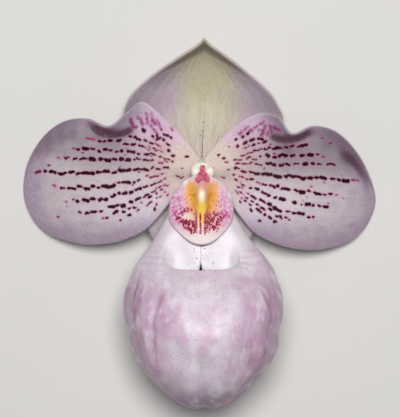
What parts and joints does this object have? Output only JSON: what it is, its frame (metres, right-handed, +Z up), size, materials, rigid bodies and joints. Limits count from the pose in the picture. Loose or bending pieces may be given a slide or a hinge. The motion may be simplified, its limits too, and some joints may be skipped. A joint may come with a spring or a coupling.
{
  "type": "paphiopedilum orchid bloom",
  "caption": "Slipper orchid bloom, as picked: a deep open pouch, broad petals, a hooded sepal and a domed staminode, on a ribbed ovary and a cut stem, lying on its back, face up.",
  "frame": {"origin": "on the surface that the bloom lies on, under the middle of its outline", "axes": "+Z up out of the bloom's face, +Y along the dorsal sepal, +X to the right of someone who looks down into the bloom"},
  "size_m": [0.098, 0.0969, 0.0444],
  "materials": {
    "sepal": "matte",
    "petal": "matte",
    "lip": "satin",
    "column": "satin",
    "staminode": "satin",
    "anther": "satin",
    "ovary": "matte",
    "bract": "matte",
    "stem": "matte"
  },
  "bodies": {
    "root": {"dorsal_sepal": "sepal", "synsepal": "sepal", "petal_left": "petal", "petal_right": "petal", "lip_pouch": "lip", "column": "column", "staminode": "staminode", "anther_left": "anther", "anther_right": "anther", "ovary": "ovary", "bract": "bract", "stem": "stem"}
  },
  "joints": []
}
